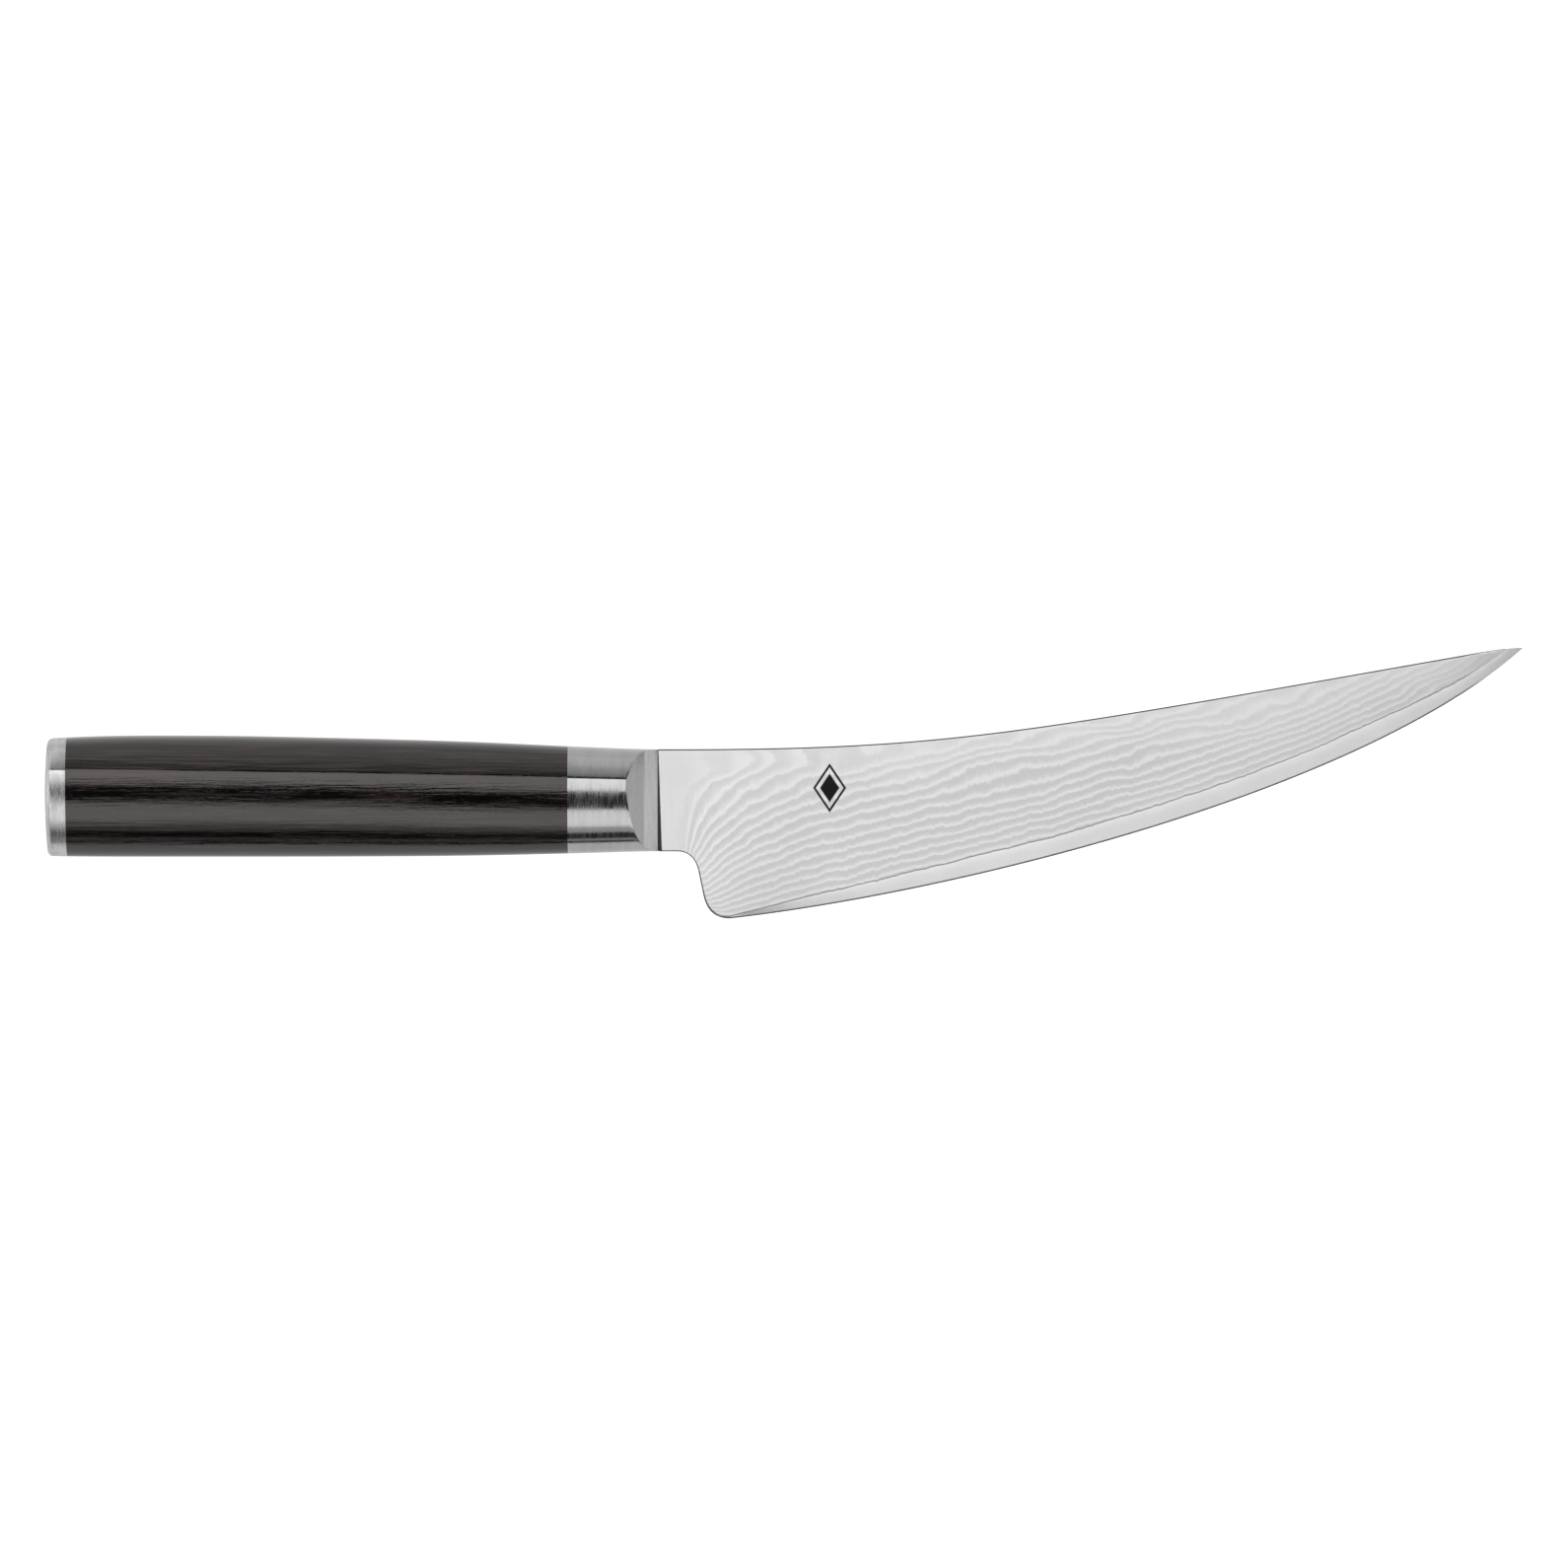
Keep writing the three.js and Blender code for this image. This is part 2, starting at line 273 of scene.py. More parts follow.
# Blade: a core sheet between two claddings.
blade = {
    "shoulder": 9.5,
    "spine": ((0, 9.5), (53.6, 9.5), (64.43, 12.01), (152.6, 27.5)),
    "spineTip": ((152.6, 27.5), (155.5, 28.02), (158.3, 28.35), (160.8, 28.4)),
    "edge": ((13.1, -22.0), (54.2, -17.4), (130.7, 1.3), (160.8, 28.4)),
    # half thicknesses of the core, of the core above its honed edge, of the very edge, of the
    # cladding's lower lip, and of the whole blade at the bolster and at the tip
    "coreHalf": 0.3,
    "edgeHalf": 0.15,
    "apexHalf": 0.015,
    "lipHalf": 0.36,
    "half": 0.95,
    "tipHalf": 0.5,
    "steepest": 0.05,        # most gain of thickness for each millimetre up from the limit
    "faceSwell": 1.18,       # over 1 makes the ground faces swell a little
    "honeHeight": 0.24,
    "honeStart": 11.2,
    "honeLength": 3.2,
    "spineRound": 0.28,
    "spineDrop": 0.24,
    "bareAtHeel": 0.4,       # height of the bare core strip at the heel, past it and at the tip
    "bare": 3.85,
    "bareAtTip": 2.3,
    "bareRise": 22.0,
    "bareFall": 132.0,       # from here the strip narrows to the tip
    # reach, pace and noise row of the three wanders of the limit
    "wander": ((0.30, 0.075, 3.1), (0.15, 0.28, 8.7), (0.15, 1.1, 1.9)),
    "grindStart": 5.0,
    "grindLength": 26.0,
    "claddingEnd": 157.6,
    "stubBack": -1.6,        # the core's stub of tang behind the joint
    "stubHalf": 9.42,
    "seamSlant": (-0.16, 0.5),   # front end of the cladding at the spine and at the choil
    "seamReach": 3.0,
}
quarterTurn = pi / 2
hair = 1e-4      # millimetres: two places closer than this count as one

choil = [(-3, -9.5), (3.2, -9.5)]
choil += curve((3.2, -9.5), (5.27, -9.5), (6.6, -10.6), (7.2, -12.8), 30)[1:]
choil += [(7.45, -14.0), (8.2, -17.6)]
choil += curve((8.2, -17.6), (8.8, -20.53), (10.43, -22.0), (13.1, -22.0), 30)[1:]
edgePoints = np.array(curve(*blade["edge"]))
spinePoints = np.array([(-3, 9.5)] + curve(*blade["spine"]) + curve(*blade["spineTip"], 30)[1:])
lowerPoints = np.array(choil + curve(*blade["edge"])[1:])


def edgeAt(x):
    return float(np.interp(x, edgePoints[:, 0], edgePoints[:, 1]))


def spineAt(x):
    return float(np.interp(x, spinePoints[:, 0], spinePoints[:, 1]))


def lowerAt(x):
    return float(np.interp(x, lowerPoints[:, 0], lowerPoints[:, 1]))


def limitAt(x):
    # lower limit of the cladding: a forged line that wanders a little
    pastHeel = max(x - 13.1, 0)
    bare = mix(blade["bareAtHeel"], blade["bare"], 1 - exp(-pastHeel / blade["bareRise"]))
    bare = mix(bare, blade["bareAtTip"], smooth((x - blade["bareFall"]) / (tipX - blade["bareFall"])))
    wander = 0.0
    for reach, pace, row in blade["wander"]:
        wander += reach * noise.noise(Vector((x * pace, row, 0)))
    return edgeAt(x) + bare + wander * min(bare / 2.5, 1)


def claddingHalf(x, y):
    limit = limitAt(x)
    spine = max(spineAt(x), limit + 0.5)
    rise = min(max((y - limit) / (spine - limit), 0), 1)
    grind = smooth((x - blade["grindStart"]) / blade["grindLength"])
    atSpine = mix(blade["half"], blade["tipHalf"], min(max(x / tipX, 0), 1))
    low = mix(blade["half"], blade["lipHalf"], grind)
    high = mix(blade["half"], atSpine, grind)
    high = min(high, low + blade["steepest"] * (spine - limit))
    return mix(low, high, 1 - (1 - rise) ** blade["faceSwell"])


def gridSheet(columns, heightsAt):
    # a grid with one column for each place along the blade, its rows set by heightsAt
    heights = [heightsAt(x) for x in columns]
    lastColumn, lastRow = len(columns) - 1, len(heights[0]) - 1
    bm = bmesh.new()
    bmesh.ops.create_grid(bm, x_segments=lastColumn, y_segments=lastRow, size=1)
    for vert in bm.verts:
        column = round((vert.co.x + 1) / 2 * lastColumn)
        row = round((vert.co.y + 1) / 2 * lastRow)
        vert.co = (columns[column], heights[column][row], 0)
    return bm


def columnsBetween(start, end, ranges):
    # places along the blade: fine steps where the outline turns
    places = [start]
    while places[-1] < end - 1e-6:
        step = next(step for limit, step in ranges if places[-1] < limit)
        places.append(min(places[-1] + step, end))
    return places


def thicken(bm, upper, lower):
    # turns the flat grid into a closed sheet between two heights
    top = list(bm.verts)
    made = bmesh.ops.extrude_face_region(bm, geom=bm.faces[:])
    bottom = [part for part in made["geom"] if isinstance(part, bmesh.types.BMVert)]
    for vert in bottom:
        vert.co.z = upper(vert.co.x, vert.co.y)
    for vert in top:
        vert.co.z = lower(vert.co.x, vert.co.y)


# each pair is a place along the blade and the width of the columns up to it
heelSteps = ((2.8, 0.5), (6.4, 0.25), (9.6, 0.06), (14, 0.2))
claddingColumns = columnsBetween(
    0.0, blade["claddingEnd"], heelSteps + ((150, 0.45), (170, 0.2)))
coreColumns = [blade["stubBack"], -0.1] + columnsBetween(
    0.0, tipX, heelSteps + ((150, 0.6), (170, 0.15)))


def claddingRows(x):
    spine = spineAt(x)
    low = min(max(lowerAt(x), limitAt(x)), spine - 0.02)
    height = spine - low
    top = min(0.5, height * 0.3)
    rows = [mix(low, spine - top, i / 18) for i in range(18)]
    return rows + [spine - top * share for share in (1, 0.56, 0.36, 0.2, 0.1, 0.03, 0)]


def coreRows(x):
    spine = spineAt(x) if x >= 0 else blade["stubHalf"]
    low = lowerAt(x) if x >= 0 else -blade["stubHalf"]
    limit = min(max(low + 0.4, limitAt(x)), mix(low, spine, 0.9))
    small = min((limit - low) / 0.8, 1)
    rows = [low + height * small for height in (0, 0.12, 0.22, 0.26, 0.34)]
    rows += [mix(rows[-1], limit, share) for share in (0.3, 0.65)]
    return rows + [mix(limit, spine, share) for share in (0, 0.03, 0.3, 0.65, 1)]


def roundedHalf(x, y):
    # half thickness less the rounding along the spine
    below = max(spineAt(x) - y, 0)
    drop = 0.0
    if below < blade["spineRound"]:
        inwards = 1 - below / blade["spineRound"]
        drop = blade["spineDrop"] * (1 - sqrt(max(0, 1 - inwards ** 2)))
    return claddingHalf(x, y) - drop


def coreHalfAt(x, y):
    limit = limitAt(x)
    low = lowerAt(x)
    if y > limit:
        return blade["coreHalf"]
    share = min(max((y - low) / max(limit - low, 0.01), 0), 1)
    honed = min(max((y - low) / blade["honeHeight"], 0), 1)
    half = mix(mix(blade["apexHalf"], blade["edgeHalf"], honed), blade["coreHalf"], share)
    return mix(blade["coreHalf"], half, smooth((x - blade["honeStart"]) / blade["honeLength"]))


def addValues(piece, values):
    # numbers kept on the points of a piece for its material to read
    fromFrame = toFrame.inverted()
    places = [fromFrame @ vert.co for vert in piece.data.vertices]
    for name, valueAt in values.items():
        layer = piece.data.attributes.new(name, "FLOAT", "POINT")
        layer.data.foreach_set("value", [valueAt(p.x, p.y) for p in places])


def outlineDistance(points):
    # distance from a place on the blade to the nearest of a line of points
    def distanceAt(x, y):
        return float(np.min(np.hypot(points[:, 0] - x, points[:, 1] - y)))
    return distanceAt


def refine(points, step=0.1):
    # the same line with points close together
    lengths = np.hypot(np.diff(points[:, 0]), np.diff(points[:, 1]))
    reached = np.concatenate(([0], np.cumsum(lengths)))
    places = np.arange(0, reached[-1], step)
    return np.column_stack([np.interp(places, reached, points[:, k]) for k in (0, 1)])


plainSpine = outlineDistance(refine(spinePoints))
plainLower = outlineDistance(refine(lowerPoints))


def tipFade(x):
    # takes the dark lines (the painted shade along spine and edge, and the limit line) away where they
    # would run together at the tip
    return 0.3 * smooth((x - layered["fadeStart"]) / layered["fadeLength"])


def fromSpine(x, y):
    return plainSpine(x, y) + tipFade(x)


def fromLower(x, y):
    # counts short round the heel, where the painted shade line along the edge is wider
    return plainLower(x, y) * (1 - 0.4 * exp(-((x - 10.6) / 2.4) ** 2)) + tipFade(x)


layered = {
    "light": (0.725, 0.725, 0.725),
    "dark": (0.645, 0.645, 0.647),
    "roughLow": 0.30,
    "roughHigh": 0.38,
    "squeeze": (1, 0.05, 0.05),
    "lineScale": 5200,
    "bump": 0.2,
    "bumpDepth": 0.00002,
    "bands": 15.1,               # bands between the limit of the cladding and the spine
    "bandWidth": 1.45,
    "bandWidening": 0.055,
    "fanStart": 4.2,             # the plain zone by the bolster ends here
    "fanReach": 2.3,
    "fanWidening": 0.3,
    "fanPower": 1.15,
    "choilBands": 1.6,
    "choilReach": 1.1,
    "fadeStart": 149.0,
    "fadeLength": 8.0,
    # scale, stretch, detail and reach of the noises that bend the bands
    "bends": (
        (55, (1, 1.6, 1), 1, 1.3),         # slow wander of a whole band
        (240, (1, 0.8, 1), 1, 0.55),       # waves along a band
        (800, (1, 0.35, 1), 1, 0.48),      # small steps across it
        (2100, (1, 0.4, 1), 1, 0.28),
    ),
    "tongues": (62, (0.75, 1.9, 1), 1, 5.0),
    "patches": (75, (0.7, 1.6, 1), 2, 0.9),
    # where a dark line starts to fade and where it is gone, its strength and its grey; the spine and lower
    # lines are painted shade along the outline, the limit line marks the forged line
    "spinePaintedShade": (0.14, 0.36, 1.0, 0.07),
    "lowerPaintedShade": (0.12, 0.32, 1.0, 0.08),
    "limitLine": (0.08, 0.24, 0.8, 0.20),
    "markAt": (31.7, 2.3),       # a plain lozenge etched on the right side
    "markSize": (3.1, 4.6),
    "markRing": (0.80, 0.87, 0.96, 1.03),
    "markMiddle": (0.55, 0.62),
    "markColour": (0.014, 0.014, 0.015),
}


def layerDepth(x, y):
    # how many bands the grinding has cut through: most at the limit of the cladding, none in
    # the plain zone by the bolster, a few more again where the choil is rounded off
    height = max(y - limitAt(x), 0)
    widening = layered["bandWidening"]
    cut = layered["bands"] - log(1 + height * widening / layered["bandWidth"]) / widening
    past = max(x - layered["fanStart"], 0) / (layered["fanReach"] + layered["fanWidening"] * height)
    fan = 1 - exp(-past ** layered["fanPower"])
    hook = layered["choilBands"] * exp(-plainLower(x, y) / layered["choilReach"])
    return max(cut, -1.5) * fan + hook * smooth((x - 5) / 3) * smooth((15 - x) / 5)


def etchedMark(tree, coord):
    # a lozenge with a thin ring round it, on the side facing up
    split = tree.nodes.new("ShaderNodeSeparateXYZ")
    tree.links.new(coord.outputs["Object"], split.inputs[0])
    centre = toFrame @ Vector((*layered["markAt"], 0))
    reach = None
    for axis, middle, size in zip("XY", centre, layered["markSize"]):
        away = mathNode(tree, "ABSOLUTE", mathNode(tree, "SUBTRACT", split.outputs[axis], middle))
        away = mathNode(tree, "MULTIPLY", away, 1000 / size)
        reach = away if reach is None else mathNode(tree, "ADD", reach, away)
    ringIn, ringFrom, ringTo, ringOut = layered["markRing"]
    ring = mathNode(tree, "MULTIPLY", rangeNode(tree, reach, ringTo, ringOut, 1.0, 0.0),
                    rangeNode(tree, reach, ringIn, ringFrom, 0.0, 1.0))
    middle = rangeNode(tree, reach, *layered["markMiddle"], 1.0, 0.0)
    onTop = mathNode(tree, "GREATER_THAN", split.outputs["Z"], centre.z)
    return mathNode(tree, "MULTIPLY", mathNode(tree, "ADD", ring, middle, clamp=True), onTop)


def layeredMaterial():
    material, tree, shader = newMaterial("layeredSteel")
    shader.inputs["Metallic"].default_value = 1.0
    coord = tree.nodes.new("ShaderNodeTexCoord")
    depth = addNode(tree, "ShaderNodeAttribute", attribute_name="layerDepth")
    spineGap = addNode(tree, "ShaderNodeAttribute", attribute_name="fromSpine")
    lowerGap = addNode(tree, "ShaderNodeAttribute", attribute_name="fromLower")
    limitGap = addNode(tree, "ShaderNodeAttribute", attribute_name="fromLimit")

    def wobble(scale, stretch, detail, reach):
        mapping = addNode(tree, "ShaderNodeMapping")
        mapping.inputs["Scale"].default_value = stretch
        tree.links.new(coord.outputs["Object"], mapping.inputs["Vector"])
        node = addNode(tree, "ShaderNodeTexNoise", in_Detail=detail, in_Roughness=0.5)
        node.inputs["Scale"].default_value = scale
        tree.links.new(mapping.outputs["Vector"], node.inputs["Vector"])
        return mathNode(tree, "MULTIPLY", mathNode(tree, "SUBTRACT", node.outputs["Fac"], 0.5), reach)

    phase = depth.outputs["Fac"]
    for bend in layered["bends"]:
        phase = mathNode(tree, "ADD", phase, wobble(*bend))
    # by the spine the steel is hardly ground and the bands break into tongues
    tongues = mathNode(tree, "MULTIPLY", wobble(*layered["tongues"]),
                       rangeNode(tree, spineGap.outputs["Fac"], 1.0, 11.0, 1.0, 0.0))
    phase = mathNode(tree, "ADD", phase, tongues)
    # the second sine makes one side of each band steeper than the other
    wave = mathNode(tree, "SINE", mathNode(tree, "MULTIPLY", phase, 2 * pi))
    second = mathNode(tree, "SINE", mathNode(tree, "MULTIPLY", phase, 4 * pi))
    wave = mathNode(tree, "ADD", wave, mathNode(tree, "MULTIPLY", second, 0.38))
    band = rangeNode(tree, wave, -1.15, 0.8, 0.0, 1.0)
    started = rangeNode(tree, depth.outputs["Fac"], -0.2, 1.8, 0.16, 1.0)
    patchy = mathNode(tree, "ADD", wobble(*layered["patches"]), 0.85)
    patchy = mathNode(tree, "MULTIPLY", patchy,
                      rangeNode(tree, spineGap.outputs["Fac"], 0.5, 11.0, 0.5, 1.0))
    weight = mathNode(tree, "MULTIPLY", started, patchy)
    shade = mathNode(tree, "MULTIPLY", band, weight)
    plain = rangeNode(tree, started, 0.16, 1.0, 0.4, 0.0, "LINEAR")
    shade = mathNode(tree, "ADD", shade, plain)
    lines = placeLines(tree, layered["squeeze"], layered["lineScale"])
    lineTone = rangeNode(tree, lines.outputs["Lines"], noiseLow, noiseHigh, 0.0, 0.24, "LINEAR")
    shade = mathNode(tree, "ADD", shade, lineTone, clamp=True)
    colour = mixColour(tree, shade, layered["light"], layered["dark"])
    # painted shade darkens the spine and the lower outline; the limit line darkens the forged line
    for gap, line in ((spineGap, "spinePaintedShade"), (lowerGap, "lowerPaintedShade"), (limitGap, "limitLine")):
        near, far, strength, grey = layered[line]
        darkness = rangeNode(tree, gap.outputs["Fac"], near, far, strength, 0.0)
        colour = mixColour(tree, darkness, colour, (grey, grey, grey))
    colour = mixColour(tree, etchedMark(tree, coord), colour, layered["markColour"])
    tree.links.new(colour, shader.inputs["Base Color"])
    rough = rangeNode(tree, shade, 0.0, 1.0, layered["roughLow"], layered["roughHigh"])
    tree.links.new(rough, shader.inputs["Roughness"])
    height = mathNode(tree, "ADD", mathNode(tree, "MULTIPLY", shade, -1.0),
                      mathNode(tree, "MULTIPLY", lines.outputs["Lines"], 0.5))
    addBump(tree, shader, height, layered["bump"], layered["bumpDepth"])
    return material


bareCore = {
    "colour": (0.85, 0.85, 0.85),
    "squeeze": (1, 0.06, 0.06),
    "lineScale": 4200,
    "lineLow": 0.96,
    "cloudScale": 70,
    "cloudLow": 0.94,
    "toneBelow": (-2.2, 0.95),       # height from the limit, and the tone there
    "toneAtLimit": (-0.1, 1.02),
    "edgePaintedShade": (0.18, 0.32, 0.13),  # painted shade along the cutting edge: a dark line fades between two distances; then its grey
    "limitLine": (-0.14, -0.03, 0.18),
    # painted shade on the core left bare in the groove before the cladding's front end: darkness fades
    # between two places along the blade; then its grey
    "seam": (0.62, 0.70, 0.035),
    "roughLow": 0.30,
    "roughHigh": 0.36,
    "bump": 0.1,
    "bumpDepth": 0.00002,
}


def coreMaterial():
    material, tree, shader = newMaterial("bareCoreSteel")
    shader.inputs["Metallic"].default_value = 1.0
    edgeGap = addNode(tree, "ShaderNodeAttribute", attribute_name="fromLower")
    limitGap = addNode(tree, "ShaderNodeAttribute", attribute_name="fromLimit")
    along = addNode(tree, "ShaderNodeAttribute", attribute_name="along")
    lines = placeLines(tree, bareCore["squeeze"], bareCore["lineScale"])
    cloud = placeCloud(tree, bareCore["cloudScale"], bareCore["cloudLow"], 1.0)
    fine = rangeNode(tree, lines.outputs["Lines"], noiseLow, noiseHigh, bareCore["lineLow"], 1.0)
    tone = mathNode(tree, "MULTIPLY", cloud, fine)
    below, toneBelow = bareCore["toneBelow"]
    limit, toneAtLimit = bareCore["toneAtLimit"]
    tone = mathNode(tree, "MULTIPLY", tone,
                    rangeNode(tree, limitGap.outputs["Fac"], below, limit, toneBelow, toneAtLimit))
    colour = scaledColour(tree, tone, bareCore["colour"])
    # dark marks on the core: painted shade along the cutting edge, the limit line, and painted shade in the
    # groove at the seam with the bolster
    for gap, line, strengths in ((edgeGap, "edgePaintedShade", (1.0, 0.0)), (limitGap, "limitLine", (0.0, 0.75)),
                                 (along, "seam", (1.0, 0.0))):
        low, high, grey = bareCore[line]
        darkness = rangeNode(tree, gap.outputs["Fac"], low, high, *strengths)
        colour = mixColour(tree, darkness, colour, (grey, grey, grey))
    tree.links.new(colour, shader.inputs["Base Color"])
    rough = rangeNode(tree, lines.outputs["Lines"], 0.25, 0.75, bareCore["roughLow"], bareCore["roughHigh"])
    tree.links.new(rough, shader.inputs["Roughness"])
    addBump(tree, shader, lines.outputs["Lines"], bareCore["bump"], bareCore["bumpDepth"])
    return material


bm = gridSheet(coreColumns, coreRows)
thicken(bm, coreHalfAt, lambda x, y: -coreHalfAt(x, y))
coreSteel = coreMaterial()
bladeCore = finish(bm, "bladeCore", ["blade_core"], [coreSteel])
addValues(bladeCore, {
    "fromLower": fromLower,
    "fromLimit": lambda x, y: y - limitAt(x) - tipFade(x),
    # place along the blade, read for the painted shade in the groove at the seam
    "along": lambda x, y: x,
})

layeredSteel = layeredMaterial()
for name, node, side in (("claddingRight", "cladding_right", 1), ("claddingLeft", "cladding_left", -1)):
    bm = gridSheet(claddingColumns, claddingRows)
    thicken(bm, roundedHalf, lambda x, y: blade["coreHalf"])
    for vert in bm.verts:      # the seam with the bolster opens towards the edge
        down = (blade["shoulder"] - vert.co.y) / (2 * blade["shoulder"])
        vert.co.x += max(0, 1 - vert.co.x / blade["seamReach"]) * mix(*blade["seamSlant"], down)
    if side < 0:
        bmesh.ops.scale(bm, vec=(1, 1, -1), verts=bm.verts)
    piece = finish(bm, name, [node], [layeredSteel])
    addValues(piece, {
        "layerDepth": layerDepth,
        "fromSpine": fromSpine,
        "fromLower": fromLower,
        "fromLimit": lambda x, y: y - limitAt(x) + tipFade(x),
    })
print("blade done", len(claddingColumns), "columns")

# The D-shaped section is shared by bolster, handle and end cap.
section = {
    # place: top, bottom, ridge height, ridge reach
    "stations": (
        (-118, 11.35, 10.38, 5.6, 9.95),
        (-104, 11.95, 10.5, 5.45, 9.9),
        (-86, 12.05, 10.51, 5.2, 9.75),
        (-60, 11.62, 10.49, 4.85, 9.4),
        (-35, 10.9, 10.31, 4.4, 9.0),
        (-15, 10.0, 9.87, 4.0, 8.6),
        (-3, 9.55, 9.54, 3.75, 8.33),
        (2, 9.45, 9.47, 3.7, 8.28),
    ),
    "left": 8.4,
    "leftFlat": 2.6,
    "facetShare": 0.78,
    "facetSlope": 0.6,
    "facetBulge": 0.065,
    "facetOut": (0.5, 0.86),         # the way the facet faces
    "roundPower": (1.02, 0.86),      # along the handle, and at the bolster
    "roundFrom": -62,
    "roundLength": 45,
    "cornerReach": 0.76,             # fullness of the corner between facet and top
    # points from ridge to bottom, to the left, to the top, round its corner and down the facet
    "steps": (30, 20, 20, 12, 8),
}
stations = np.array(section["stations"], dtype=float)
slopes = np.array([np.gradient(stations[:, k], stations[:, 0]) for k in range(5)]).T


def stationAt(x):
    # smooth curve through the stations
    i = int(np.clip(np.searchsorted(stations[:, 0], x) - 1, 0, len(stations) - 2))
    span = stations[i + 1, 0] - stations[i, 0]
    t = (x - stations[i, 0]) / span
    a, b = stations[i], stations[i + 1]
    da, db = slopes[i] * span, slopes[i + 1] * span
    value = ((2 * t**3 - 3 * t**2 + 1) * a + (t**3 - 2 * t**2 + t) * da
             + (3 * t**2 - 2 * t**3) * b + (t**3 - t**2) * db)
    return value[1:]


def dRing(x, inset=0.0, bulge=0.0):
    # points round the section, from the ridge by way of the bottom, and back to the ridge
    top, bottom, ridge, reach = stationAt(x)
    left, flat = section["left"], section["leftFlat"]
    facetTop = top * section["facetShare"]
    facetReach = reach - (facetTop - ridge) * section["facetSlope"]
    power = mix(*section["roundPower"], smooth((x - section["roundFrom"]) / section["roundLength"]))
    lowSteps, leftSteps, topSteps, cornerSteps, facetSteps = section["steps"]
    points = []
    for i in range(lowSteps):
        a = i / lowSteps * quarterTurn
        points.append((ridge - (ridge + bottom) * sin(a), reach * cos(a) ** power))
    for i in range(leftSteps + 1):
        a = i / leftSteps * quarterTurn
        points.append((-flat - (bottom - flat) * cos(a), -left * sin(a)))
    points.append((0.0, -left))
    for i in range(topSteps):
        a = i / topSteps * quarterTurn
        points.append((flat + (top - flat) * sin(a), -left * cos(a)))
    for i in range(cornerSteps + 1):
        t = i / cornerSteps
        corner = facetReach * section["cornerReach"]
        points.append((
            (1 - t**2) * top + t**2 * facetTop,
            2 * t * (1 - t) * corner + t**2 * facetReach,
        ))
    for i in range(1, facetSteps + 1):
        share = i / facetSteps
        bulgeOut = section["facetBulge"] * 4 * share * (1 - share)
        outY, outZ = section["facetOut"]
        points.append((mix(facetTop, ridge, share) + bulgeOut * outY,
                       mix(facetReach, reach, share) + bulgeOut * outZ))
    ring = []
    for y, z in points:
        kept = (hypot(y, z) - inset) / hypot(y, z)
        ring.append(Vector((x - bulge, y * kept, z * kept)))
    return ring


def wrapRings(rings):
    # a grid rolled round the rings, its seam closed
    bm = bmesh.new()
    around, along = len(rings[0]) - 1, len(rings) - 1
    bmesh.ops.create_grid(bm, x_segments=around, y_segments=along, size=1)
    for vert in bm.verts:
        spoke = round((vert.co.x + 1) / 2 * around)
        vert.co = rings[round((vert.co.y + 1) / 2 * along)][spoke]
    bmesh.ops.remove_doubles(bm, verts=bm.verts, dist=hair / 10)
    return bm


def closeEnds(bm):
    rim = [edge for edge in bm.edges if edge.is_boundary]
    bmesh.ops.holes_fill(bm, edges=rim, sides=0)


def edgesWhere(bm, test):
    return [edge for edge in bm.edges if all(test(vert.co) for vert in edge.verts)]


def isRidge(co):
    ridge, reach = stationAt(co.x)[2:]
    return hypot(co.y - ridge, co.z - reach) < 0.02


def softenEdges(bm, edges, offset, segments=2):
    bmesh.ops.bevel(bm, geom=edges, offset=offset, offset_type="OFFSET", affect="EDGES",
                    segments=segments, profile=0.5, material=-1, clamp_overlap=True)


bolster = {
    "front": -0.3,
    "moonStart": -6.0,
    "moonReach": 8.3,
    "moonMiddle": -2.85,
    "moonMiddleReach": 3.57,
    "frontHalf": 1.17,
    "ridgeSoft": 0.12,
    "edgeSoft": 0.1,
    "rings": (-17, -14.5, -12, -10, -8, -7, -6.2, -5.4, -4.6, -3.8, -3.2, -2.5, -1.8, -1.1, -0.3),
}


def moonHeight(x):
    # half thickness that the ground hollow at the front leaves
    if x < bolster["moonMiddle"]:
        share = (x - bolster["moonStart"]) / (bolster["moonMiddle"] - bolster["moonStart"])
        return mix(bolster["moonReach"], bolster["moonMiddleReach"], share)
    share = (x - bolster["moonMiddle"]) / (bolster["front"] - bolster["moonMiddle"])
    return mix(bolster["moonMiddleReach"], bolster["frontHalf"], share)


